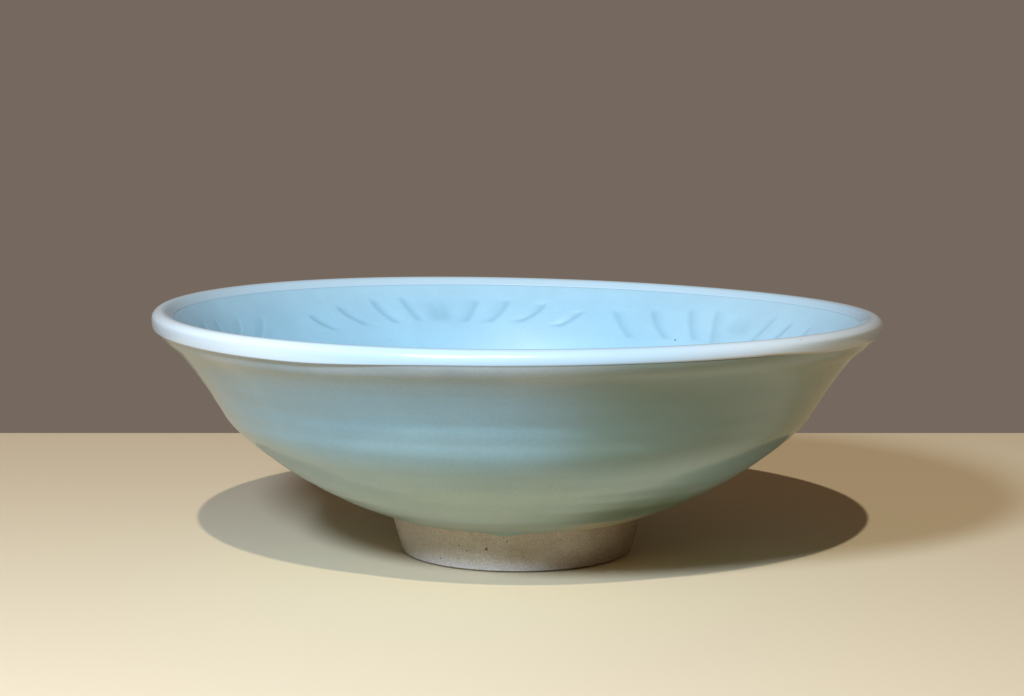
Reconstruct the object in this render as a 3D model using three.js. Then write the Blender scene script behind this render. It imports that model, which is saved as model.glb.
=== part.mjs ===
// A wide celadon tea bowl: a thrown stoneware body on a luted foot ring, under three fused coats of glaze.
// Millimetres, +Z up. The origin is the middle of the foot's standing face, and the bowl is round about +Z.
import * as THREE from "three";

// Overall form of the glazed bowl
const rimRadius = 85;
const bowlHeight = 57.4;
const lipRadius = 2.35; // the lip is the wall's end, rounded
const wallAtFoot = 6.2; // thickness of clay and both coats, thinning evenly up to the lip
const floorThickness = 6; // clay and inside coat, between the recess and the tea well's edge

// The belly is where the shallow lower wall turns into the steeper upper wall
const flareReach = 18.5; // from the belly out to the rim
const flareRise = 26.3; // from the belly up to the rim
const riseAtFoot = 15; // degrees above level, going outwards along the wall
const riseAtBelly = 45;
const riseAtLip = 43;

// How far each end of a wall curve holds its direction
const pullFromFoot = 16;
const pullIntoBelly = 8.1;
const pullOutOfBelly = 5.1;
const pullIntoLip = 16.8;

// Foot ring
const footHeight = 9.8; // of the corner between the ring's side and the wall
const footTopRadius = 30;
const footFlare = 3; // the ring's side leans in by this much on its way down
const footRingWidth = 5.8; // of the ring's underside, with its worn edges
const footEdgeWear = 0.7; // bevel on the two edges that the bowl stands on
const recessTaper = 1.2; // the recess is this much narrower in radius at its top
const seatDrop = 2.4; // the flat seat of the body on the ring lies this far below the corner
const seatSlope = 25; // degrees at which the body's underside comes down to that seat

// Glaze
const glazeThickness = 0.6;
const bareBand = 0.8; // clay left bare between the foot ring and the outside coat
const lipCoatUnder = 24; // degrees below level at which the lip coat ends outside
const lipCoatInside = 1.6; // length of lip coat down the inner wall, past the round lip
const coatRound = 0.2; // bevel on the free lower edge of the outside coat, up to a third of the coat
const fusedGap = 0.1; // drawn between pieces that are fused or luted together

// Tea well in the middle of the floor
const wellRadius = 15;
const wellDepth = 0.7;
const wellEdge = 4; // width of the slope round the well

// How finely the round shapes are drawn
const turnSegments = 64;
const wallSteps = 5; // for each of the wall's two curves
const floorSteps = 4;

const stoneware = new THREE.MeshStandardMaterial({ color: 0xb4a58a, roughness: 0.92, metalness: 0 });
const celadon = new THREE.MeshStandardMaterial({ color: 0xa3c4c4, roughness: 0.12, metalness: 0 });
const celadonInside = new THREE.MeshStandardMaterial({ color: 0xaad8ea, roughness: 0.1, metalness: 0 });
const thinGlaze = new THREE.MeshStandardMaterial({ color: 0xe0f1f3, roughness: 0.12, metalness: 0 });

const point = (radius, height) => new THREE.Vector2(radius, height);

// A point at a distance from another, in a direction given in degrees above level.
function away(from, distance, degrees) {
  const turn = THREE.MathUtils.degToRad(degrees);
  return point(from.x + distance * Math.cos(turn), from.y + distance * Math.sin(turn));
}

// Moves every point of a profile square to it, to the left of the way it runs for a positive distance.
// A distance that changes along the profile is given as a function of the point's number.
function offsetProfile(profile, distance) {
  return profile.map((here, i) => {
    const before = profile[Math.max(i - 1, 0)];
    const after = profile[Math.min(i + 1, profile.length - 1)];
    const along = after.clone().sub(before).normalize();
    const by = typeof distance === "function" ? distance(i) : distance;
    return point(here.x - along.y * by, here.y + along.x * by);
  });
}

function lengthOf(profile) {
  return profile.slice(1).reduce((sum, here, i) => sum + here.distanceTo(profile[i]), 0);
}

// The glazed wall's outer face, from the foot up to where the lip's round starts
const lipCentre = point(rimRadius - lipRadius, bowlHeight - lipRadius);
const footCorner = point(footTopRadius, footHeight);
const belly = point(rimRadius - flareReach, bowlHeight - flareRise);
const lipStart = away(lipCentre, lipRadius, riseAtLip - 90);
const lowerWall = new THREE.CubicBezierCurve(
  footCorner,
  away(footCorner, pullFromFoot, riseAtFoot),
  away(belly, -pullIntoBelly, riseAtBelly),
  belly,
);
const upperWall = new THREE.CubicBezierCurve(
  belly,
  away(belly, pullOutOfBelly, riseAtBelly),
  away(lipStart, -pullIntoLip, riseAtLip),
  lipStart,
);
const outerFace = [...lowerWall.getPoints(wallSteps), ...upperWall.getPoints(wallSteps).slice(1)];

// The inner face lies a wall thickness in from the outer one, and runs out level at the middle of the floor
const innerWall = offsetProfile(outerFace, (i) => {
  return THREE.MathUtils.lerp(wallAtFoot, 2 * lipRadius, i / (2 * wallSteps));
});
const seatHeight = footHeight - seatDrop;
const floorTop = seatHeight + floorThickness;
const wellRim = point(wellRadius + wellEdge, floorTop);
const floorStart = innerWall[1];
const runOut = (floorStart.y - floorTop) / Math.tan(THREE.MathUtils.degToRad(riseAtFoot));
const floorTurn = point(Math.max(floorStart.x - runOut, wellRim.x), floorTop);
const innerFloor = new THREE.QuadraticBezierCurve(floorStart, floorTurn, wellRim);
const innerFace = [
  ...innerWall.slice(2).reverse(),
  ...innerFloor.getPoints(floorSteps),
  point(wellRadius, floorTop - wellDepth),
  point(0, floorTop - wellDepth),
];

// One skin over the whole glazed surface: up the outside, over the lip and down the inside to the middle
const lipTurns = [(riseAtLip - 90) / 2, 0, 30, 60, 90, 90 + riseAtLip / 2]; // with the widest point and the top
const lipRound = lipTurns.map((turn) => away(lipCentre, lipRadius, turn));
const skin = [...outerFace, ...lipRound, ...innerFace];
const lipStartLength = lengthOf(outerFace);
const lipEndLength = lengthOf([...outerFace, ...lipRound, innerFace[0]]);
const skinLength = lengthOf(skin);
const lipCoatStart = lipStartLength + lipRadius * THREE.MathUtils.degToRad(90 - riseAtLip - lipCoatUnder);
const lipCoatEnd = lipEndLength + lipCoatInside;

// A layer at some depth under the skin, cut off at two lengths measured along the skin.
function layer(depth, from, to) {
  const deep = offsetProfile(skin, depth);
  const kept = [];
  let gone = 0;
  for (let i = 1; i < skin.length; i++) {
    const next = gone + skin[i].distanceTo(skin[i - 1]);
    const cut = (length) => deep[i - 1].clone().lerp(deep[i], (length - gone) / (next - gone));
    if (from >= gone && from < next) kept.push(cut(from));
    if (next > from && next < to) kept.push(deep[i]);
    if (to > gone && to <= next) kept.push(cut(to));
    gone = next;
  }
  return kept;
}

// Turns a profile of [radius, height] points into a solid about +Z.
function turned(name, profile, material) {
  const geometry = new THREE.LatheGeometry(profile, turnSegments);
  geometry.rotateX(Math.PI / 2);
  const mesh = new THREE.Mesh(geometry, material);
  mesh.name = name;
  return mesh;
}

// A profile that runs round and meets itself.
function closed(profile) {
  return [...profile, profile[0].clone()];
}

function outsideGlaze() {
  const round = Math.min(coatRound, glazeThickness / 3);
  const top = lipCoatStart - fusedGap;
  const edge = [
    layer(glazeThickness - round, bareBand, top)[0],
    layer(round, bareBand, top)[0],
  ];
  const face = layer(0, bareBand + round, top);
  const back = layer(glazeThickness, bareBand + round, top);
  return turned("outer_glaze", closed([...edge, ...face, ...back.reverse()]), celadon);
}

function lipGlaze() {
  const face = layer(0, lipCoatStart, lipCoatEnd);
  const back = layer(glazeThickness, lipCoatStart, lipCoatEnd);
  return turned("lip_glaze", closed([...face, ...back.reverse()]), thinGlaze);
}

// The inside coat reaches the axis, so its profile opens and closes there.
function insideGlaze() {
  const face = layer(0, lipCoatEnd + fusedGap, skinLength);
  const back = layer(glazeThickness, lipCoatEnd + fusedGap, skinLength);
  return turned("inner_glaze", [...back.reverse(), ...face], celadonInside);
}

// The clay's face lies under the skin by a coat and the gap. At the foot it runs on down to the flat seat.
const clayFace = layer(glazeThickness + fusedGap, 0, skinLength);
const underSlope = THREE.MathUtils.degToRad(seatSlope);
const seatRadius = clayFace[0].x - (clayFace[0].y - seatHeight) / Math.tan(underSlope);

function clayBody() {
  return turned("clay_body", [point(0, seatHeight), point(seatRadius, seatHeight), ...clayFace], stoneware);
}

// The ring's top follows the body's underside: the flat seat, then a cone out to the ring's corner.
function footRing() {
  const seat = seatHeight - fusedGap;
  const underBody = seatHeight + (footTopRadius - seatRadius) * Math.tan(underSlope);
  const bottomRadius = footTopRadius - footFlare;
  const recessRadius = bottomRadius - footRingWidth;
  const profile = [
    point(recessRadius - recessTaper, seat),
    point(recessRadius - recessTaper * (footEdgeWear / seat), footEdgeWear),
    point(recessRadius + footEdgeWear, 0),
    point(bottomRadius - footEdgeWear, 0),
    point(bottomRadius + footFlare * (footEdgeWear / footHeight), footEdgeWear),
    point(footTopRadius, underBody - fusedGap / Math.cos(underSlope)),
    point(seatRadius, seat),
  ];
  return turned("foot_ring", closed(profile), stoneware);
}

const bowl = new THREE.Group();
bowl.add(footRing(), clayBody(), outsideGlaze(), lipGlaze(), insideGlaze());

export default bowl;
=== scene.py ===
# Celadon tea bowl on a pale board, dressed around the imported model.
import math
import random
from bisect import bisect_right

import bmesh
import bpy
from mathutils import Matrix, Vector, noise
from mathutils.geometry import interpolate_bezier


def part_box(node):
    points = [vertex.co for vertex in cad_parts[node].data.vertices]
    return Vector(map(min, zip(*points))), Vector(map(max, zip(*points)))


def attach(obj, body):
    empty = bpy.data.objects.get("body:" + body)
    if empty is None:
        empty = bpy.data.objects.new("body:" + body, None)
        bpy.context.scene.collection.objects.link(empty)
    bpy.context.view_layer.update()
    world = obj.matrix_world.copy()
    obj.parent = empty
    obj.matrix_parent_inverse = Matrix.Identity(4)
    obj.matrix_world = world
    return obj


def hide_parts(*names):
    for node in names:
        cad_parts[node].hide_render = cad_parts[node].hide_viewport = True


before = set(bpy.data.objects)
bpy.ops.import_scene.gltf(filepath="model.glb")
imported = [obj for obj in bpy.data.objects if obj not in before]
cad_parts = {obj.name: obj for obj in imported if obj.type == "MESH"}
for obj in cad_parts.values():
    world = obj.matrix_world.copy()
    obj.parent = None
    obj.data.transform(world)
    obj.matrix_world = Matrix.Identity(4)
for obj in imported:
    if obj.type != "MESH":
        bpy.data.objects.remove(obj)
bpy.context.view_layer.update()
mm = 0.001
weld = 1e-6  # vertices nearer to each other than this become one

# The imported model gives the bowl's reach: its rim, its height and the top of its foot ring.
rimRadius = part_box("lip_glaze")[1].x
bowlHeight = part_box("lip_glaze")[1].z
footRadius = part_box("foot_ring")[1].x

form = {
    "lipRadius": 2.35 * mm,
    "lipUnder": 14,  # degrees below level at which the lip's round ends in a crisp outer edge
    "underHeight": 0.25 * mm,  # of the small face tucked in under that edge
    "underTuck": 0.3 * mm,  # how much further in that face starts
    "wallAtFoot": 6.2 * mm,
    "flareReach": 18.5 * mm,  # from the belly out to the rim
    "flareRise": 26.3 * mm,  # from the belly up to the rim
    "riseAtFoot": 15,  # degrees above level, going outwards
    "riseAtBelly": 45,
    "riseAtLip": 43,
    "pullFromFoot": 16 * mm,  # how far each end of a wall curve holds its direction
    "pullIntoBelly": 8.1 * mm,
    "pullOutOfBelly": 5.1 * mm,
    "pullIntoLip": 16.8 * mm,
    "footHeight": 9.8 * mm,
    "footFlare": 3 * mm,
    "floorTop": 13.4 * mm,
    "wellRadius": 15 * mm,
    "wellEdge": 4 * mm,
    "wellDepth": 0.7 * mm,
    "wellPull": 1.6 * mm,  # how softly its slope begins and ends
    "floorRise": 4,  # degrees above level at which the floor leaves the well's rim
    "floorPull": 7 * mm,
    "riseToWall": 20,  # degrees at which it comes up to the inner wall
    "pullToWall": 6 * mm,
    "floorMeets": 14,  # the number of the inner wall's point where it does
    "glaze": 0.6 * mm,
}

# How many steps each curve of the outline is drawn in
drawn = {"lip": 40, "wall": 60, "innerWall": 100, "floor": 40, "well": 16}


# Rises softly from 0 to 1 while x does
def smooth(x):
    x = min(max(x, 0), 1)
    return x * x * (3 - 2 * x)


def mix(a, b, share):
    return a + (b - a) * share


# Highest, at 1, where x is 0, and nearly gone at two widths to each side
def hump(x, width):
    return math.exp(-(x / width) ** 2)


# Degrees from one turn to another, the short way round
def turnsApart(a, b):
    return (a - b + 180) % 360 - 180


def outwards(turn):
    return Vector((math.cos(turn), math.sin(turn), 0))


hand = {
    "rimTilt": 1 * mm,  # how far the rim sinks at +X, and rises opposite
    "rimSway": 0.5 * mm,  # how far it also sinks on two opposite quarters, and rises on the others
    "frontRise": 0.2 * mm,  # how much higher it stands in front
    "lift": 0.1 * mm,  # how much higher it stands all round
    "tiltPower": 2.04,  # all of this is mostly near the top
    "wobble": 0.15 * mm,  # how far the wall strays from round
}


# The thrown wall's own tilt, and its wobble two and three times a turn
def inHand(co):
    turn = math.atan2(co.y, co.x)
    reach = math.hypot(co.x, co.y) / rimRadius
    rise = max(co.z, 0) / bowlHeight
    stray = hand["wobble"] * rise * (math.cos(2 * turn + 0.6) + 0.5 * math.cos(3 * turn - 1.1))
    out = outwards(turn) if reach else Vector()
    sink = (hand["rimTilt"] * math.cos(turn) + hand["rimSway"] * math.sin(2 * turn)
            + hand["frontRise"] * math.sin(turn) - hand["lift"]) * reach * rise ** hand["tiltPower"]
    return co + out * stray - Vector((0, 0, sink))


# Outlines are drawn in the plane of radius and height.
def away(start, distance, degrees):
    turn = math.radians(degrees)
    return start + Vector((math.cos(turn), math.sin(turn))) * distance


def turnOf(step):
    return math.degrees(math.atan2(step.y, step.x))


# A curve that holds its direction for a while at each end
def bend(start, startTurn, startPull, end, endTurn, endPull, steps):
    points = interpolate_bezier(start, away(start, startPull, startTurn),
                                away(end, -endPull, endTurn), end, steps)
    return [Vector(point[:2]) for point in points]


def arc(centre, radius, fromTurn, toTurn, steps):
    return [away(centre, radius, mix(fromTurn, toTurn, i / steps)) for i in range(steps + 1)]


# A line through points that can be asked for the point at a length along it,
# and for the way into the clay there, which is to the left of the way it runs.
class Path:
    def __init__(self, points):
        self.points = [points[0]]
        self.lengths = [0.0]
        for point in points[1:]:
            step = (point - self.points[-1]).length
            if step > 1e-9:
                self.points.append(point)
                self.lengths.append(self.lengths[-1] + step)
        self.total = self.lengths[-1]

    def at(self, length):
        last = len(self.points) - 1
        i = min(max(bisect_right(self.lengths, length) - 1, 0), last - 1)
        share = (length - self.lengths[i]) / (self.lengths[i + 1] - self.lengths[i])
        start, end = self.points[i], self.points[i + 1]
        before, after = self.points[max(i - 1, 0)], self.points[min(i + 2, last)]
        turned = min(max(share, 0), 1)
        run = mix((end - before).normalized(), (after - start).normalized(), turned).normalized()
        return start.lerp(end, share), Vector((-run.y, run.x))


lipCentre = Vector((rimRadius - form["lipRadius"], bowlHeight - form["lipRadius"]))
footCorner = Vector((footRadius, form["footHeight"]))
belly = Vector((rimRadius - form["flareReach"], bowlHeight - form["flareRise"]))
lipOver = arc(lipCentre, form["lipRadius"], -form["lipUnder"], form["riseAtLip"] + 90, drawn["lip"])
lipEdge = lipOver[0]
lipJoin = lipEdge - Vector((form["underTuck"], form["underHeight"]))

lowerWall = bend(footCorner, form["riseAtFoot"], form["pullFromFoot"],
                 belly, form["riseAtBelly"], form["pullIntoBelly"], drawn["wall"])
upperWall = bend(belly, form["riseAtBelly"], form["pullOutOfBelly"],
                 lipJoin, form["riseAtLip"], form["pullIntoLip"], drawn["wall"])
outerWall = Path(lowerWall + upperWall)

# The inner wall runs into the end of the lip's round, getting thinner on the way up
wallAtLip = (lipOver[-1] - lipJoin).dot(outerWall.at(outerWall.total)[1])
innerWall = []
for i in range(drawn["innerWall"] + 1):
    share = i / drawn["innerWall"]
    point, inward = outerWall.at(outerWall.total * share)
    inner = point + inward * mix(form["wallAtFoot"], wallAtLip, share)
    if inner.y < lipOver[-1].y - 0.1 * mm:
        innerWall.append(inner)
wellRim = Vector((form["wellRadius"] + form["wellEdge"], form["floorTop"]))
well = Vector((form["wellRadius"], form["floorTop"] - form["wellDepth"]))
floorBend = bend(wellRim, form["floorRise"], form["floorPull"],
                 innerWall[form["floorMeets"]], form["riseToWall"], form["pullToWall"], drawn["floor"])
wellSlope = bend(well, 0, form["wellPull"], wellRim, form["floorRise"], form["wellPull"], drawn["well"])
innerFace = Path([lipOver[-1]] + innerWall[:form["floorMeets"]:-1] + floorBend[::-1] + wellSlope[::-1]
                 + [Vector((0, well.y))])
print("outline ready:", round(outerWall.total / mm, 1), "mm of wall outside")


# Lengths along a path, close together in some stretches and wider apart in others
def lengthsOver(stretches):
    lengths = []
    for start, end, spacing in stretches:
        count = max(1, math.ceil((end - start) / spacing))
        lengths += [mix(start, end, i / count) for i in range(count)]
    return lengths + [stretches[-1][1]]


# Rows of an outline at a depth under a path. Each holds its spot, the path's point over it, the way in,
# the length along the path and the depth.
def rowsUnder(path, lengths, depth):
    rows = []
    for length in lengths:
        point, inward = path.at(length)
        rows.append((point + inward * depth, point, inward, length, depth))
    return rows


# Turns an outline about the bowl's axis. Each row keeps its number on the way round, so that place() can
# give every vertex its own radius and height, and say how much the glaze has pooled or drawn thin there;
# some pieces also use these two layers for painted shade and painted light.
def spun(rows, place, steps, closed=True):
    bm = bmesh.new()
    number = bm.verts.layers.int.new("row")
    pool = bm.verts.layers.float.new("pool")
    thin = bm.verts.layers.float.new("thin")
    verts = []
    for i, row in enumerate(rows):
        verts.append(bm.verts.new((max(row[0].x, 0), 0, row[0].y)))
        verts[-1][number] = i
    edges = [bm.edges.new(pair) for pair in zip(verts, verts[1:])]
    if closed:
        edges.append(bm.edges.new((verts[-1], verts[0])))
    # One slice is turned and then repeated round, which is much quicker than a single whole turn.
    slices = 24
    bmesh.ops.spin(bm, geom=verts + edges, cent=(0, 0, 0), axis=(0, 0, 1),
                   angle=2 * math.pi / slices, steps=steps // slices)
    bmesh.ops.spin(bm, geom=bm.verts[:] + bm.edges[:] + bm.faces[:], cent=(0, 0, 0), axis=(0, 0, 1),
                   angle=2 * math.pi * (1 - 1 / slices), steps=slices - 1, use_duplicate=True)
    bmesh.ops.remove_doubles(bm, verts=bm.verts, dist=weld)
    for vert in bm.verts:
        turn = math.atan2(vert.co.y, vert.co.x)
        spot, pooled, thinned = place(turn, rows[vert[number]])
        vert.co = inHand(Vector((math.cos(turn) * spot.x, math.sin(turn) * spot.x, spot.y)))
        vert[pool] = pooled
        vert[thin] = thinned
    return bm


def finished(name, bm, node, material, sharp=60):
    bmesh.ops.remove_doubles(bm, verts=bm.verts, dist=weld)
    bmesh.ops.recalc_face_normals(bm, faces=bm.faces)
    mesh = bpy.data.meshes.new(name)
    bm.to_mesh(mesh)
    bm.free()
    mesh.polygons.foreach_set("use_smooth", [True] * len(mesh.polygons))
    mesh.set_sharp_from_angle(angle=math.radians(sharp))
    mesh.materials.append(material)
    piece = bpy.data.objects.new(name, mesh)
    bpy.context.scene.collection.objects.link(piece)
    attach(piece, "root")
    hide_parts(node)
    print(name, len(mesh.polygons), "faces")


# Materials
def linear(hexColour):
    channels = [int(hexColour[i:i + 2], 16) / 255 for i in (1, 3, 5)]
    return tuple(c / 12.92 if c <= 0.04045 else ((c + 0.055) / 1.055) ** 2.4 for c in channels) + (1,)


# Adds a node with its settings. An input given as another node's output is linked, any other is set.
def added(tree, kind, inputs=None, **settings):
    node = tree.nodes.new(kind)
    for name, value in settings.items():
        setattr(node, name, value)
    for name, value in (inputs or {}).items():
        if isinstance(value, bpy.types.NodeSocket):
            tree.links.new(value, node.inputs[name])
        else:
            node.inputs[name].default_value = value
    return node


def freshMaterial(name):
    material = bpy.data.materials.new(name)
    material.use_nodes = True
    material.node_tree.nodes.clear()
    return material, material.node_tree


# A colour that changes with height, from a list of (height, colour)
def heightRamp(tree, height, stops):
    low, high = stops[0][0], stops[-1][0]
    share = added(tree, "ShaderNodeMapRange", {"Value": height, "From Min": low, "From Max": high})
    ramp = added(tree, "ShaderNodeValToRGB", {"Fac": share.outputs["Result"]})
    while len(ramp.color_ramp.elements) < len(stops):
        ramp.color_ramp.elements.new(0.5)
    for element, (at, colour) in zip(ramp.color_ramp.elements, stops):
        element.position = (at - low) / (high - low)
        element.color = linear(colour)
    return ramp.outputs["Color"]


# Celadon: an iron-bearing feldspar glaze fired in reduction, poured and dipped. It is clear glass over pale
# clay, blue where it lies thick, grey where it runs thin, and holds fine bubbles that show as a pale haze.
celadonSizes = {
    "clouds": 30 * mm,
    "patches": 12 * mm,
    "ringGap": 1.923 * mm,
    "ringLong": 71.4 * mm,  # a ring changes slowly on its way round
    "bubbles": 0.7 * mm,  # real ones are finer, and are drawn this wide so that they show
    "specksApart": 13 * mm,
    "speckCore": 0.208 * mm,  # a speck is darkest out to this radius, and ends at the next
    "speckEdge": 0.39 * mm,
    "dimples": 5 * mm,
    "dimpleDepth": 0.05 * mm,
}


def celadonGlaze(name, stops, look):
    sizes = celadonSizes
    material, tree = freshMaterial(name)
    place = added(tree, "ShaderNodeTexCoord").outputs["Object"]
    height = added(tree, "ShaderNodeSeparateXYZ", {"Vector": place}).outputs["Z"]
    # Thickness wanders in soft clouds
    clouds = added(tree, "ShaderNodeTexNoise", {"Vector": place, "Scale": 1 / sizes["clouds"],
                                                "Detail": 3.0})
    wander = added(tree, "ShaderNodeMath", {0: clouds.outputs["Fac"], 1: 0.5}, operation="SUBTRACT")
    wander = added(tree, "ShaderNodeMath", {0: wander.outputs[0], 1: look["cloudReach"]},
                   operation="MULTIPLY")
    moved = added(tree, "ShaderNodeMath", {0: height, 1: wander.outputs[0]}, operation="ADD")
    colour = heightRamp(tree, moved.outputs[0], stops)
    # It is lighter and darker in fine rings left by the turning wheel, in bubbles and grains, and in patches
    # where it flowed together
    ringScale = [1 / sizes[key] for key in ("ringLong", "ringLong", "ringGap")]
    onWheel = added(tree, "ShaderNodeMapping", {"Vector": place, "Scale": ringScale}).outputs["Vector"]
    for key, where, scale in (("rings", onWheel, 1.0), ("grain", place, 1 / sizes["bubbles"]),
                              ("patches", place, 1 / sizes["patches"])):
        pattern = added(tree, "ShaderNodeTexNoise", {"Vector": where, "Scale": scale, "Detail": 2.0})
        shade = added(tree, "ShaderNodeMapRange", {
            "Value": pattern.outputs["Fac"], "From Min": 0.3, "From Max": 0.7,
            "To Min": 1 - look[key], "To Max": 1 + look[key]})
        colour = added(tree, "ShaderNodeVectorMath", {0: colour, "Scale": shade.outputs[0]},
                       operation="SCALE").outputs["Vector"]
    # Glaze that has run into a cut is deeper in colour, and drawn thin it lets the clay show through; on
    # some pieces these two layers also carry painted shade and painted light
    for layer, key in (("pool", "pooled"), ("thin", "thinned")):
        share = added(tree, "ShaderNodeAttribute", attribute_name=layer).outputs["Fac"]
        colour = added(tree, "ShaderNodeMix", {"Factor": share, "A": colour, "B": linear(look[key])},
                       data_type="RGBA").outputs["Result"]
    # A few grains of iron burst through as dark specks
    speck = added(tree, "ShaderNodeTexVoronoi", {"Vector": place, "Scale": 1 / sizes["specksApart"]})
    speck = added(tree, "ShaderNodeMapRange", {
        "Value": speck.outputs["Distance"], "From Min": sizes["speckCore"] / sizes["specksApart"],
        "From Max": sizes["speckEdge"] / sizes["specksApart"], "To Min": 0.75, "To Max": 0.0})
    colour = added(tree, "ShaderNodeMix", {"Factor": speck.outputs[0], "A": colour,
                                           "B": linear(look["iron"])}, data_type="RGBA").outputs["Result"]
    # The fired surface is not quite flat but softly dimpled
    dimple = added(tree, "ShaderNodeTexNoise", {"Vector": place, "Scale": 1 / sizes["dimples"],
                                                "Detail": 1.0})
    bump = added(tree, "ShaderNodeBump", {"Height": dimple.outputs["Fac"], "Strength": 0.25,
                                          "Distance": sizes["dimpleDepth"]})
    gloss = added(tree, "ShaderNodeBsdfPrincipled", {
        "Base Color": colour, "Roughness": look["roughness"], "IOR": 1.5,
        "Coat Weight": 0.5, "Coat Roughness": look["coatRoughness"], "Normal": bump.outputs["Normal"]})
    added(tree, "ShaderNodeOutputMaterial", {"Surface": gloss.outputs[0]})
    return material


# Bare stoneware: a buff clay thrown, trimmed with a turning tool and fired hard on a kiln shelf. It is dry
# and a little toasted, with fine trimming rings, sand and burnt specks of iron.
def bareStoneware(name, look):
    material, tree = freshMaterial(name)
    place = added(tree, "ShaderNodeTexCoord").outputs["Object"]
    height = added(tree, "ShaderNodeSeparateXYZ", {"Vector": place}).outputs["Z"]
    base = heightRamp(tree, height, look["stops"])
    toast = added(tree, "ShaderNodeTexNoise", {"Vector": place, "Scale": 1 / look["toastWide"],
                                               "Detail": 4.0})
    toast = added(tree, "ShaderNodeMapRange", {"Value": toast.outputs["Fac"], "From Min": 0.42,
                                               "From Max": 0.72})
    # The standing edge is worn pale where it was wiped clean and rubbed, and is painted paler still at the
    # front left as painted light; one side is painted darker, a painted shade where light does not reach
    wornAndLit = added(tree, "ShaderNodeAttribute", attribute_name="thin")
    paintedSideShade = added(tree, "ShaderNodeAttribute", attribute_name="pool")
    for share, key in ((toast.outputs[0], "toasted"), (wornAndLit.outputs["Fac"], "wornAndLit"),
                       (paintedSideShade.outputs["Fac"], "paintedSideShade")):
        base = added(tree, "ShaderNodeMix", {"Factor": share, "A": base, "B": linear(look[key])},
                     data_type="RGBA").outputs["Result"]
    sand = added(tree, "ShaderNodeTexNoise", {"Vector": place, "Scale": 1 / look["sandWide"], "Detail": 3.0})
    shade = added(tree, "ShaderNodeMapRange", {
        "Value": sand.outputs["Fac"], "From Min": 0.3, "From Max": 0.7, "To Min": 0.84, "To Max": 1.14})
    colour = added(tree, "ShaderNodeVectorMath", {0: base, "Scale": shade.outputs[0]},
                   operation="SCALE").outputs["Vector"]
    # Burnt specks of iron under 1 mm wide, with finer ones between
    for spacing, size, rarity in look["specks"]:
        speck = added(tree, "ShaderNodeTexVoronoi", {"Vector": place, "Scale": 1 / spacing})
        spot = added(tree, "ShaderNodeMapRange", {
            "Value": speck.outputs["Distance"], "From Min": size / spacing,
            "From Max": 1.7 * size / spacing, "To Min": 0.8, "To Max": 0.0})
        fewer = added(tree, "ShaderNodeSeparateColor", {"Color": speck.outputs["Color"]})
        fewer = added(tree, "ShaderNodeMath", {0: fewer.outputs[0], 1: rarity}, operation="GREATER_THAN")
        spot = added(tree, "ShaderNodeMath", {0: spot.outputs[0], 1: fewer.outputs[0]},
                     operation="MULTIPLY")
        colour = added(tree, "ShaderNodeMix", {"Factor": spot.outputs[0], "A": colour,
                                               "B": linear(look["iron"])},
                       data_type="RGBA").outputs["Result"]
    # The turning tool left fine rings, and the sand stands up between them
    ringScale = [1 / look[key] for key in ("ringLong", "ringLong", "ringGap")]
    rings = added(tree, "ShaderNodeMapping", {"Vector": place, "Scale": ringScale})
    rings = added(tree, "ShaderNodeTexNoise", {"Vector": rings.outputs["Vector"], "Scale": 1.0,
                                               "Detail": 2.0})
    rough = added(tree, "ShaderNodeMath", {0: rings.outputs["Fac"], 1: sand.outputs["Fac"]},
                  operation="ADD")
    bump = added(tree, "ShaderNodeBump", {"Height": rough.outputs[0], "Strength": 0.6,
                                          "Distance": look["roughDepth"]})
    clay = added(tree, "ShaderNodeBsdfPrincipled", {
        "Base Color": colour, "Roughness": 0.82, "IOR": 1.45, "Normal": bump.outputs["Normal"]})
    added(tree, "ShaderNodeOutputMaterial", {"Surface": clay.outputs[0]})
    return material


# Each glaze's colour at some heights above the foot's standing edge
outsideStops = [
    (12 * mm, "#bfdacf"),
    (19 * mm, "#b9d6ce"),
    (25 * mm, "#abcfcf"),
    (33 * mm, "#a0cad6"),
    (40 * mm, "#98c4d5"),
    (47 * mm, "#9cc0cd"),
    (50.5 * mm, "#a7c4cf"),
    (53.5 * mm, "#c5d8e2"),
]
insideStops = [
    (11 * mm, "#a0d3ee"),
    (30 * mm, "#a1d5f0"),
    (51 * mm, "#a4d6f1"),
    (55 * mm, "#abd9f2"),
]
lipStops = [
    (53 * mm, "#e0f2fd"),
    (57.4 * mm, "#e3f5ff"),
]

# Cloud reach is the height by which the colours wander up and down. Patches, rings and grain are the shares
# by which each makes the glaze lighter and darker.
outsideGlazed = celadonGlaze("celadonDippedOutside", outsideStops, {
    "cloudReach": 12 * mm,
    "patches": 0.035,
    "rings": 0.03,
    "grain": 0.04,
    "roughness": 0.3,
    "coatRoughness": 0.03,
    # the pooled colour also paints a shade high on the right of the wall and, in part, the board's shadow
    # mirrored low down
    "pooled": "#7c9a82",
    "thinned": "#f2e8bc",
    "iron": "#5c5238",
})
insideGlazed = celadonGlaze("celadonPouredInside", insideStops, {
    "cloudReach": 6 * mm,
    "patches": 0.04,
    "rings": 0.012,
    "grain": 0.02,
    "roughness": 0.42,
    "coatRoughness": 0.35,
    "pooled": "#86bbd6",
    # thinned here paints only the light on the right of the inner wall
    "thinned": "#d8f2fc",
    "iron": "#4d4a3a",
})
lipGlazed = celadonGlaze("celadonThinOverLip", lipStops, {
    "cloudReach": 0,
    "patches": 0.01,
    "rings": 0,
    "grain": 0.012,
    "roughness": 0.25,
    "coatRoughness": 0.08,
    "pooled": "#c3e3f7",
    "thinned": "#e8dcc4",
    "iron": "#8b7c60",
})
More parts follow.
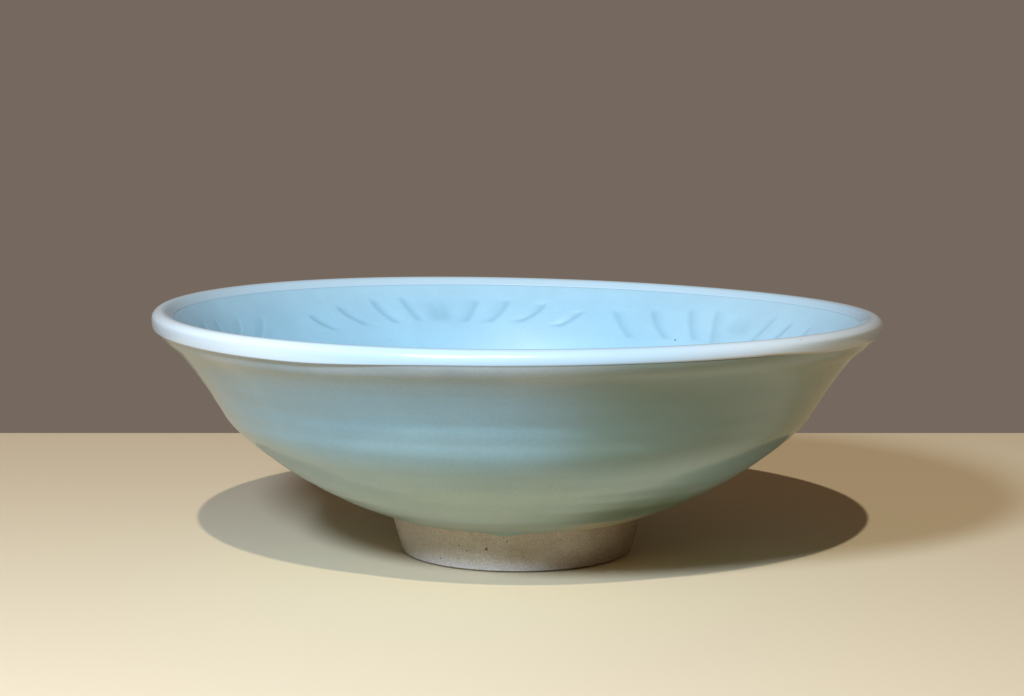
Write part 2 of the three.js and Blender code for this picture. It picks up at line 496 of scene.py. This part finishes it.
stoneware = bareStoneware("stonewareTrimmedBare", {
    "stops": [(0, "#eee7da"), (4 * mm, "#f0e8d8"), (10 * mm, "#eee1cb"), (12 * mm, "#f8f0dd")],
    "toasted": "#dccdb6",
    # worn pale, and painted lighter still where light falls at the front left
    "wornAndLit": "#f8f5f1",
    # a painted shade for the foot's unlit side
    "paintedSideShade": "#9a8466",
    "iron": "#4a3a2a",
    "toastWide": 9 * mm,
    "sandWide": 0.45 * mm,
    "ringGap": 0.5556 * mm,
    "ringLong": 33.3 * mm,
    "roughDepth": 0.12 * mm,
    # How far apart the iron specks lie, the radius of their dark middles and the share that is left out
    "specks": [(5.5 * mm, 0.33 * mm, 0.55), (2.1 * mm, 0.147 * mm, 0.5)],
})
print("materials ready")


# Foot ring: trimmed from stiff clay with a turning tool, so it has fine rings and slightly worn edges.
footLook = {
    "ringWidth": 5.8 * mm,
    "recessTaper": 1.2 * mm,
    "seatHeight": 7.3 * mm,
    "seatRadius": 23.2 * mm,
    "wear": 0.5 * mm,  # of the two edges that the bowl stands on
    "spacing": 0.4 * mm,  # between rows of the mesh
    "steps": 288,
    "rings": 0.03 * mm,  # how far the turned rings stand in and out
    "ringPitch": 0.27 * mm,  # two pi of this from ring to ring
    "chips": 0.1 * mm,
    "chipWide": 3.5 * mm,
    "wornAndLitTurn": 250,  # degrees round from +X at which the standing edge is palest, worn there and painted lighter where the side light falls
    "wornAndLitHigh": 2.6 * mm,  # about how far up that shows
    "wornAndLitBlotch": 2.2 * mm,
    "sideShadeTurn": 345,  # degrees at which it is painted darkest, a painted shade on its unlit side
    "sideShadeMost": 0.6,
    "sideShadeReach": 62,  # degrees to each side at which that ends
    "sideShadeSoft": 50,  # degrees over which it fades
    "sideShadeLower": 18,  # degrees by which the painted shade reaches further round low down
    "sideShadeLow": 4 * mm,
}


def makeFootRing():
    look = footLook
    base = footRadius - form["footFlare"]
    recess = base - look["ringWidth"]
    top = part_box("foot_ring")[1].z
    wear = look["wear"]
    # Down the recess, over the worn standing edges, up the ring's side and back along its seat
    outline = Path([Vector(corner) for corner in (
        (recess - look["recessTaper"], look["seatHeight"]),
        (recess - 0.1 * mm, wear), (recess + 0.3 * wear, 0.3 * wear), (recess + wear, 0),
        (base - 2.4 * wear, 0), (base - 0.7 * wear, 0.35 * wear), (base + 0.2 * mm, wear),
        (footRadius, top), (look["seatRadius"], look["seatHeight"]),
        (recess - look["recessTaper"], look["seatHeight"]))])
    corners = outline.lengths
    sides = [(start, end, look["spacing"]) for start, end in zip(corners, corners[1:])]
    rows = rowsUnder(outline, lengthsOver(sides)[:-1], 0)

    def place(turn, row):
        spot = row[0]
        if spot.y <= 0:
            return spot, 0, 0
        around = Vector((math.cos(turn) * spot.x, math.sin(turn) * spot.x, spot.y))
        free = smooth(spot.y / (1.5 * mm)) * smooth((top - 0.3 * mm - spot.y) / mm)
        phase = spot.y / look["ringPitch"] + 2 * noise.noise(around / (6 * mm))
        ring = look["rings"] * math.sin(phase) * free
        chip = look["chips"] * noise.noise(around / look["chipWide"]) * smooth(spot.y / (0.5 * mm))
        side = 1 if spot.x > recess + look["ringWidth"] / 2 else -1
        # Worn pale towards the standing edge, and painted paler at the front left, a painted light where the
        # side lamp falls
        wornAndLit = smooth(1.25 - spot.y / look["wornAndLitHigh"])
        wornAndLit *= (0.5 + 0.5 * math.cos(turn - math.radians(look["wornAndLitTurn"]))) ** 2.5
        wornAndLit *= 0.95 + 0.6 * noise.noise(around / look["wornAndLitBlotch"])
        # Painted shade: the foot is painted darker on its right, where light does not reach
        reach = look["sideShadeReach"] + look["sideShadeLower"] * smooth(1.2 - spot.y / look["sideShadeLow"])
        apart = abs(turnsApart(math.degrees(turn), look["sideShadeTurn"]))
        paintedSideShade = look["sideShadeMost"] * smooth((reach - apart) / look["sideShadeSoft"])
        return spot + Vector((side * (ring + chip), 0)), paintedSideShade, min(max(wornAndLit, 0), 1)

    finished("footRing", spun(rows, place, look["steps"]), "foot_ring", stoneware, 40)


# Clay body: it only shows as a thin bare line above the foot ring and as the ceiling of the recess.
clayLook = {
    "underGlaze": 0.12 * mm,  # the clay lies this far behind the back of each coat
    "overSeat": 0.1 * mm,  # and this far above the foot ring's seat
    "bareEnd": 8 * mm,  # rows lie close together out to here, where the clay can show
    "spacing": 3 * mm,
    "steps": 192,
}


def makeClayBody():
    look = clayLook
    depth = form["glaze"] + look["underGlaze"]
    seat = footLook["seatHeight"] + look["overSeat"]
    lipFace = Path([lipJoin, lipEdge] + lipOver)
    # Out over the flat seat, up the wall, over the lip and down inside to the middle
    rows = [(Vector((footLook["seatRadius"] * i / 4, seat)),) for i in range(5)]
    wall = lengthsOver([(0, look["bareEnd"], 0.5 * mm), (look["bareEnd"], outerWall.total, look["spacing"])])
    rows += rowsUnder(outerWall, wall, depth)
    rows += rowsUnder(lipFace, lengthsOver([(0.6 * mm, lipFace.total - 0.6 * mm, 0.8 * mm)]), depth)
    rows += rowsUnder(innerFace, lengthsOver([(0, innerFace.total - 0.1 * mm, look["spacing"])]), depth)
    rows.append((Vector((0, well.y - depth)),))
    bm = spun(rows, lambda turn, row: (row[0], 0, 0), look["steps"], closed=False)
    finished("clayBody", bm, "clay_body", stoneware, 40)


# How far the lip's crisp lower edge hangs below its usual height, in degrees round from +X and millimetres.
# The outside coat swells below it, and the lip's coat ends there.
edgeHangs = ((0, 0.1), (90, 0.4), (180, 0.9), (235, 1.2), (262, 0.2), (290, 0),
             (307, 0), (324, 1.1), (337, 1.1), (352, 0.1), (360, 0.1))


def hangAt(degrees):
    degrees %= 360
    for (start, low), (end, high) in zip(edgeHangs, edgeHangs[1:]):
        if degrees <= end:
            return mix(low, high, smooth((degrees - start) / (end - start))) * mm


# Outside coat: dipped upside down, so its lower edge wanders just above the foot and has run down once in
# front.
outsideLook = {
    "bare": 0.8 * mm,  # clay left bare above the foot's corner
    "wander": 0.5 * mm,  # how far the lower edge strays up and down
    "waves": 2.6,  # how often it does so on the way round
    "wavePlace": 4.2,  # another value gives it another course
    "thinTurn": 322,  # degrees round from +X where the coat is thin low on the wall
    "thinFlat": 20,  # degrees to each side over which it stays so
    "thinReach": 42,  # degrees to each side at which that ends
    "thinHigh": 7.5 * mm,  # how far the thin strip reaches up from the coat's edge
    "thinStray": 2 * mm,  # how uneven its upper side is
    "thinWaves": 6,  # and how often it strays
    "thinSoft": 3 * mm,
    "thinMost": 0.85,
    "darkBandWide": 7 * mm,  # of the darker band over the strip, glaze lying thick there and a painted reflection of the board's shadow, from its upper side to its middle
    "bareMore": 1.2 * mm,  # clay left bare below the strip, on top of the usual
    "runTurn": 265,  # degrees at which the glaze has run
    "runWidth": 10,  # degrees to each side
    "runDown": 2.1 * mm,
    "roll": 0.2 * mm,  # the rounded lower edge stands proud by this much
    "rollAt": 0.55 * mm,  # its highest place, up from the coat's edge
    "rollWide": 0.6 * mm,
    "throwRings": 0.03 * mm,
    "ringPitch": 1.05 * mm,  # two pi of this from ring to ring, more or less
    "swell": 0.45 * mm,  # the wall swells a little under the lip, so that its top turns up steeply
    "swellDrop": 2.4 * mm,  # how far under the lip it is highest, where the lip's edge hangs least
    "swellWide": 2.16 * mm,
    "paintedShadeTurn": 320,  # degrees at which the upper wall is painted darker, a painted shade where the lamps leave it unlit
    "paintedShadeReach": 52,  # degrees to each side at which that ends
    "paintedShadeSoft": 21,  # degrees over which it fades
    "paintedShadeMost": 0.7,
    "paintedShadeFrom": 26 * mm,  # the height at which that begins
    "paintedShadeRise": 8 * mm,  # the height over which it comes in
    "steps": 480,
}


# How thin the coat is low on the wall at a turn, from 0 to 1
def thinAt(degrees):
    look = outsideLook
    apart = abs(turnsApart(degrees, look["thinTurn"]))
    return smooth((look["thinReach"] - apart) / (look["thinReach"] - look["thinFlat"]))


# Where the coat ends, as a length along the wall from the foot's corner, below it on the foot if negative
def coatEdge(turn):
    degrees = math.degrees(turn)
    look = outsideLook
    wave = noise.noise(outwards(turn) * look["waves"] + Vector((0, 0, look["wavePlace"])))
    run = turnsApart(degrees, look["runTurn"])
    edge = look["bare"] + thinAt(degrees) * look["bareMore"] + wave * look["wander"]
    return edge - look["runDown"] * hump(run, look["runWidth"])


def makeOuterGlaze():
    look = outsideLook
    coat = form["glaze"]
    # The skin runs up the foot's side and round its corner, with lengths counted from about the corner.
    side = Vector((form["footFlare"], form["footHeight"])).normalized()
    skin = Path([footCorner - side * 4 * mm, footCorner - side * 0.4 * mm]
                + [point for point in outerWall.points if (point - footCorner).length > 0.4 * mm])
    corner = skin.total - outerWall.total
    end = outerWall.total
    free = 30 * mm  # rows nearer to the foot than this follow the wandering edge
    face = lengthsOver([(0.01 * mm, 0.6 * mm, 0.07 * mm), (0.6 * mm, 2.4 * mm, 0.2 * mm),
                        (2.4 * mm, end, 0.75 * mm)])
    back = lengthsOver([(0.01 * mm, 2 * mm, 0.5 * mm), (2 * mm, end, 3 * mm)])
    # The face, a soft turn at the lip, the back, and the rounded lower edge
    layers = ((face, 0), ([end], 0.15 * mm), (back[::-1], coat), ([0], 0.7 * coat), ([0], 0.3 * coat))
    rows = []
    for lengths, depth in layers:
        rows += rowsUnder(skin, [corner + length for length in lengths], depth)
    edges = {}

    def place(turn, row):
        _, point, inward, length, depth = row
        length -= corner
        degrees = math.degrees(turn)
        key = round(turn * 1e4)
        if key not in edges:
            edges[key] = coatEdge(turn)
        edge = edges[key]
        fromEdge = length
        if length < free:
            length = edge + length * (1 - edge / free)
            fromEdge = length - edge
            point, inward = skin.at(length + corner)
        move = depth
        if depth == 0:
            move -= look["roll"] * hump(fromEdge - look["rollAt"], look["rollWide"])
            move += 0.5 * coat * (1 - smooth(fromEdge / (0.4 * mm)))
            wave = 1.3 * math.sin(length / (3.9 * mm)) + 0.6 * math.sin(turn)
            wave = math.sin(length / look["ringPitch"] + wave)
            wave *= smooth((length - 4 * mm) / (8 * mm)) * smooth((end - length) / (2 * mm))
            move += look["throwRings"] * wave
            swellFromLip = end - length - look["swellDrop"] - 1.2 * hangAt(degrees)
            move -= look["swell"] * hump(swellFromLip, look["swellWide"])
            move += 0.1 * mm * (1 - smooth((end - length) / (0.3 * mm)))
        # Painted shade: high on the right the wall is painted darker with the pooled colour, standing in for
        # the shade there
        paintedRightShade = smooth((look["paintedShadeReach"] - abs(turnsApart(degrees, look["paintedShadeTurn"]))) / look["paintedShadeSoft"])
        paintedRightShade *= look["paintedShadeMost"] * smooth((point.y - look["paintedShadeFrom"]) / look["paintedShadeRise"])
        # Low on the right it has run thin over the clay, and above that uneven strip it lies thick, darkened
        # further as a painted reflection of the board's shadow
        low = thinAt(degrees)
        stray = look["thinStray"] * noise.noise(outwards(turn) * look["thinWaves"])
        fromStrip = fromEdge - look["thinHigh"] - stray
        thick = low * hump(fromStrip - look["darkBandWide"], look["darkBandWide"])
        strip = look["thinMost"] * low * (1 - smooth(0.5 + fromStrip / look["thinSoft"]))
        # It has gathered in the rolled edge, which is also darkened as a painted reflection of the board's
        # shadow, and thins out at its very end and down on the foot
        rollAndMirroredShadow = 0.4 * hump(fromEdge - 0.7 * mm, 0.9 * mm)
        thinEnd = 0.5 * (1 - smooth(fromEdge / (0.3 * mm)))
        onFoot = 0.5 * smooth(-length / mm)
        return point + inward * move, max(paintedRightShade, thick, rollAndMirroredShadow), max(strip, thinEnd, onFoot)

    finished("outerGlaze", spun(rows, place, look["steps"]), "outer_glaze", outsideGlazed)


# Lip: the wall's rounded end, where the glaze has run off and looks nearly white.
lipLook = {
    "inside": 1.75 * mm,  # how far the pale glaze runs down inside, to the incised ring
    "soften": 0.2 * mm,  # round on the crisp outer edge
    "drawnOut": 1.9 * mm,  # length of lip over which a hanging edge draws the round out
    "clayShows": 333,  # degrees round from +X where the clay shows along the lower edge
    "clayReach": 40,  # about how many degrees to each side
    "clayBlotch": 9 * mm,
    "clayHigh": 0.45 * mm,  # length of lip up to which the clay shows clearly
    "claySoft": 0.55 * mm,
    "blueTurn": 268,  # degrees at which the outer half is as blue as the inner one; towards the sides it is painted whiter, a painted light
    "blueFlat": 14,  # degrees to each side over which it stays so
    "blueSoft": 30,  # degrees over which it fades
    "blueFrom": 4.2 * mm,  # length of lip at which the blue of the inner half begins
    "blueOver": 1.4 * mm,
    "steps": 480,
}


def makeLipGlaze():
    look = lipLook
    coat = form["glaze"]
    soft = look["soften"]
    under = (lipEdge - lipJoin).normalized()
    edgeRound = bend(lipEdge - under * soft, turnOf(under), soft * 0.5,
                     lipOver[2], turnOf(lipOver[3] - lipOver[2]), soft * 0.5, 6)
    over = lipOver[3:]
    inside = Path(innerFace.points[:40])
    inner = [point for point, length in zip(inside.points, inside.lengths) if 0 < length < look["inside"]]
    path = Path([lipJoin] + edgeRound + over + inner + [inside.at(look["inside"])[0]])
    total = path.total
    face = lengthsOver([(0, 2.6 * mm, 0.1 * mm), (2.6 * mm, total - 0.5 * mm, 0.22 * mm),
                        (total - 0.5 * mm, total, 0.05 * mm)])
    rows = rowsUnder(path, face, 0) + rowsUnder(path, [total * i / 6 for i in range(6, -1, -1)], coat)
    edgeAt = (lipEdge - lipJoin).length
    # Under a hanging edge the lip starts further down the wall, and the edge comes in a little
    downWall = away(Vector((0, 0)), -1.2, form["riseAtLip"])
    downLip = Vector((-0.35, -1))

    def place(turn, row):
        spot, point, inward, length, depth = row
        if depth > 0:
            return spot, 0, 0
        fromEnd = min(length, total - length)
        degrees = math.degrees(turn)
        if length < edgeAt:
            point = point + downWall.lerp(downLip, length / edgeAt) * hangAt(degrees)
        else:
            point = point + downLip * hangAt(degrees) * (1 - smooth((length - edgeAt) / look["drawnOut"]))
        shows = smooth(1.25 - abs(turnsApart(degrees, look["clayShows"])) / look["clayReach"])
        shows *= 0.75 + 0.5 * noise.noise(outwards(turn) * rimRadius / look["clayBlotch"])
        thinned = min(max(shows, 0), 0.9) * (1 - smooth((length - look["clayHigh"]) / look["claySoft"]))
        # Bluest over the crest and down the inside, where the coats overlap; to the sides the outer half is
        # painted whiter, a painted light
        apart = abs(turnsApart(degrees, look["blueTurn"]))
        front = 1 - smooth((apart - look["blueFlat"]) / look["blueSoft"])
        pooled = mix(front, 1, smooth((length - look["blueFrom"]) / look["blueOver"]))
        return point + inward * 0.06 * mm * (1 - smooth(fromEnd / (0.3 * mm))), pooled, thinned

    finished("lipGlaze", spun(rows, place, look["steps"]), "lip_glaze", lipGlazed)


# Inside coat, over a frieze of open flowers cut with a slanted knife. Glaze fills the cuts and darkens them.
friezeLook = {
    # Degrees round from +X, with how strongly each flower was cut and by how many millimetres its petals
    # are longer than the first one's
    "flowers": ((106, 0.9, 0), (39, 1, 2.6), (328, 0.9, 1.5), (254, 1, 1), (180, 0.4, 0)),
    "cutDepth": 0.22 * mm,
    "slant": 4.4 * mm,  # width of a cut's sloping side
    "steep": 1.2 * mm,  # width of its steep side
    "top": 4 * mm,  # the frieze lies between these heights below the rim
    "bottom": 15 * mm,
    "fadeIn": 0.22,  # share of a cut over which it deepens at its top
    "fadeOut": 0.16,  # and at its foot
    "coreWide": 0.8 * mm,  # of the darkest glaze, at the bottom of a cut
    "corePool": 0.32,  # how much glaze has pooled there, of 1
    "slantPool": 0.38,  # and all over the cut
    "heartTop": 4.6 * mm,  # a flower's heart is scooped out between these heights below the rim
    "heartFoot": 11.5 * mm,
    "heartWide": (1.4, 3),  # degrees to each side, at its top and its foot
    "heartRidge": 0.8,  # degrees to each side of the ridge left in its middle
    "heartDeep": 0.8,  # as a share of the cuts' depth
    "heartPool": 0.7,
    "stray": 0.6,  # degrees by which a cut misses its even place
    "seed": 11,
    "throwRings": 0.03 * mm,
    "ringPitch": 1.1 * mm,  # two pi of this from ring to ring
    "ringsFrom": 18 * mm,  # length down from the lip at which they begin
    "paintedLightTurn": 5,  # degrees at which the inner wall is painted paler, a painted light where more light falls on it
    "paintedLightReach": 70,  # degrees to each side at which that ends
    "paintedLightSoft": 45,  # degrees over which it fades
    "paintedLightMost": 0.3,
    "paintedLightDeep": 25 * mm,  # how far down from the rim
    "steps": 960,
}

# Half a flower. Each cut has the turn and drop of its top, those of its foot and its bow, in degrees and
# millimetres.
petalCuts = (
    (8.5, 4.6, 5.0, 11.0, 0.4),
    (14.5, 5.0, 9.8, 11.4, 0.8),
    (22.5, 5.6, 16.5, 11.5, 1.2),
    (30.5, 6.8, 25.0, 11.6, 0.8),
)


def friezeCuts():
    rng = random.Random(friezeLook["seed"])
    cuts = []
    for flower, strength, longer in friezeLook["flowers"]:
        for side in (-1, 1):
            for topTurn, top, footTurn, foot, bow in petalCuts:
                stray = rng.uniform(-1, 1) * friezeLook["stray"]
                top += rng.uniform(-0.5, 0.6)
                foot += longer + rng.uniform(-0.4, 0.4)
                depth = rng.uniform(0.75, 1.1) * strength
                cuts.append((flower, side, topTurn + stray, top * mm, footTurn + stray * 0.5, foot * mm,
                             bow + rng.uniform(-0.3, 0.3), depth))
    return cuts


# How deep the knife went at a place on the wall, and how much glaze has pooled there
def carved(cuts, turn, drop, radius):
    look = friezeLook
    deepest, pool = 0, 0
    perDegree = math.radians(1) * radius
    for flower, side, topTurn, top, footTurn, foot, bow, force in cuts:
        if not top < drop < foot:
            continue
        share = (drop - top) / (foot - top)
        middle = mix(topTurn, footTurn, share) + bow * math.sin(math.pi * share)
        across = (side * turnsApart(turn, flower) - middle) * perDegree
        slant, steep = look["slant"], look["steep"]
        if not -slant < across < steep:
            continue
        ends = smooth(share / look["fadeIn"]) * smooth((1 - share) / look["fadeOut"]) * force
        shape = smooth(1 + across / slant) ** 1.3 if across < 0 else smooth(1 - across / steep)
        deepest = max(deepest, shape * ends)
        core = look["corePool"] * hump(across + look["coreWide"] / 4, look["coreWide"])
        pool = max(pool, ends * (core + look["slantPool"] * shape))
    # The heart of each flower is scooped out, wider towards its foot
    for flower, strength, _ in look["flowers"]:
        share = (drop - look["heartTop"]) / (look["heartFoot"] - look["heartTop"])
        if 0 < share < 1:
            apart = turnsApart(turn, flower)
            scoop = hump(apart, mix(*look["heartWide"], share))
            scoop *= smooth(share / 0.65) * smooth((1 - share) / 0.35)
            scoop *= strength * (1 - 0.9 * hump(apart, look["heartRidge"]) * (1 - share))
            deepest = max(deepest, look["heartDeep"] * scoop)
            pool = max(pool, look["heartPool"] * scoop)
    return deepest * look["cutDepth"], min(pool, 1)


def makeInnerGlaze():
    look = friezeLook
    coat = form["glaze"]
    start = lipLook["inside"] + 0.03 * mm
    total = innerFace.total
    face = lengthsOver([(start, start + 0.5 * mm, 0.06 * mm), (start + 0.5 * mm, 20 * mm, 0.42 * mm),
                        (20 * mm, 30 * mm, 1.5 * mm), (30 * mm, total - 25 * mm, 3.2 * mm),
                        (total - 25 * mm, total, 2 * mm)])
    back = lengthsOver([(start, total - 16 * mm, 12 * mm), (total - 16 * mm, total, 15 * mm)])
    rows = rowsUnder(innerFace, face, 0) + rowsUnder(innerFace, back[::-1], coat)
    cuts = friezeCuts()

    def place(turn, row):
        spot, point, inward, length, depth = row
        # The back stays plain, and the last row of each side closes on the axis
        if length >= total:
            return Vector((0, spot.y)), 0, 0
        if depth > 0:
            return spot, 0, 0
        degrees = math.degrees(turn)
        drop = bowlHeight - point.y
        move = 0.06 * mm * (1 - smooth((length - start) / (0.3 * mm)))
        pooled = 0
        if look["top"] - mm < drop < look["bottom"]:
            cut, pooled = carved(cuts, degrees, drop, point.x)
            move += cut
        rings = look["throwRings"] * math.sin(length / look["ringPitch"])
        move += rings * smooth((length - look["ringsFrom"]) / (10 * mm))
        pooled = max(pooled, 0.3 * (1 - smooth((length - start) / (0.35 * mm))))
        # Painted light: the inner wall on the right is painted paler, where more light falls on it
        pale = smooth((look["paintedLightReach"] - abs(turnsApart(degrees, look["paintedLightTurn"]))) / look["paintedLightSoft"])
        thinned = look["paintedLightMost"] * pale * smooth(1.2 - drop / look["paintedLightDeep"])
        return point + inward * move, pooled, thinned

    bm = spun(rows, place, look["steps"], closed=False)
    finished("innerGlaze", bm, "inner_glaze", insideGlazed)


makeFootRing()
makeClayBody()
makeOuterGlaze()
makeLipGlaze()
makeInnerGlaze()


# The board, the studio and the camera
studio = {
    "board": "#f2e4c6",
    "boardBounce": "#b1a48b",  # what the board throws back up at the bowl
    "boardFront": -165 * mm,  # the board reaches from here to here, seen from the bowl's axis
    "boardBack": 175 * mm,
    "boardWide": 0.9,
    "boardThick": 22 * mm,
    "boardRound": 2 * mm,  # on its edges
    "wall": "#75695f",
    # Each lamp's turn is degrees round from +X, and its tilt degrees away from straight above
    "key": {"turn": -94.6, "tilt": 41.8, "distance": 4.4, "size": 0.08, "power": 88, "colour": "#fff0d7"},
    "side": {"turn": 246, "tilt": 57.2, "distance": 0.55, "size": 0.09, "power": 2.72, "colour": "#dbebff"},
    "room": 0.09,  # strength of the even warm light that fills the room
    "roomColour": "#ffc68d",
}


# What the camera sees, straight or mirrored in the glaze, as against what only lights other surfaces
def seenDirectly(tree):
    path = added(tree, "ShaderNodeLightPath")
    seen = path.outputs["Is Camera Ray"]
    for kind in ("Is Glossy Ray", "Is Transmission Ray"):
        seen = added(tree, "ShaderNodeMath", {0: seen, 1: path.outputs[kind]},
                     operation="MAXIMUM").outputs[0]
    return seen


def makeBoard():
    bm = bmesh.new()
    front, back, thick = studio["boardFront"], studio["boardBack"], studio["boardThick"]
    bmesh.ops.create_cube(bm, size=1)
    bmesh.ops.scale(bm, vec=(studio["boardWide"], back - front, thick), verts=bm.verts)
    bmesh.ops.translate(bm, vec=(0, (back + front) / 2, -thick / 2), verts=bm.verts)
    bmesh.ops.bevel(bm, geom=bm.edges, offset=studio["boardRound"], affect="EDGES", segments=3,
                    profile=0.5, material=-1)
    mesh = bpy.data.meshes.new("board")
    bm.to_mesh(mesh)
    bm.free()
    material, tree = freshMaterial("boardPlainPale")
    colour = added(tree, "ShaderNodeMix", {"Factor": seenDirectly(tree), "A": linear(studio["boardBounce"]),
                                           "B": linear(studio["board"])}, data_type="RGBA")
    plain = added(tree, "ShaderNodeBsdfPrincipled", {"Base Color": colour.outputs["Result"],
                                                     "Roughness": 0.6})
    added(tree, "ShaderNodeOutputMaterial", {"Surface": plain.outputs[0]})
    mesh.materials.append(material)
    board = bpy.data.objects.new("board", mesh)
    bpy.context.scene.collection.objects.link(board)


def areaLight(name, look):
    light = bpy.data.lights.new(name, "AREA")
    light.shape = "DISK"
    light.size = look["size"]
    light.energy = look["power"]
    light.color = linear(look["colour"])[:3]
    lamp = bpy.data.objects.new(name, light)
    turn, tilt = math.radians(look["turn"]), math.radians(look["tilt"])
    out = Vector((math.cos(turn) * math.sin(tilt), math.sin(turn) * math.sin(tilt), math.cos(tilt)))
    lamp.location = Vector((0, 0, bowlHeight / 2)) + out * look["distance"]
    lamp.rotation_euler = out.to_track_quat("Z", "Y").to_euler()
    bpy.context.scene.collection.objects.link(lamp)


def makeLights():
    for name in ("key", "side"):
        areaLight(name, studio[name])
    world = bpy.data.worlds.new("room")
    world.use_nodes = True
    tree = world.node_tree
    tree.nodes.clear()
    room = added(tree, "ShaderNodeBackground", {"Color": linear(studio["roomColour"]),
                                                "Strength": studio["room"]})
    wall = added(tree, "ShaderNodeBackground", {"Color": linear(studio["wall"]), "Strength": 1.0})
    both = added(tree, "ShaderNodeMixShader", {0: seenDirectly(tree), 1: room.outputs[0],
                                               2: wall.outputs[0]})
    added(tree, "ShaderNodeOutputWorld", {"Surface": both.outputs[0]})
    bpy.context.scene.world = world


# Where the photograph was taken from, solved from the bowl's edges
cameraPlace = {
    "position": Vector((-1.14, -518.3, 110.6)) * mm,
    "lookDown": 6.89,
    "focalPixels": 2215,
    "frameWidth": 1024,
}


def makeCamera():
    camera = bpy.data.cameras.new("camera")
    camera.sensor_width = 36
    camera.lens = cameraPlace["focalPixels"] * camera.sensor_width / cameraPlace["frameWidth"]
    camera.clip_start = 0.01
    holder = bpy.data.objects.new("camera", camera)
    holder.location = cameraPlace["position"]
    holder.rotation_euler = (math.radians(90 - cameraPlace["lookDown"]), 0, 0)
    bpy.context.scene.collection.objects.link(holder)
    bpy.context.scene.camera = holder


makeBoard()
makeLights()
makeCamera()
bpy.context.scene.view_settings.view_transform = "Standard"
print("studio ready")
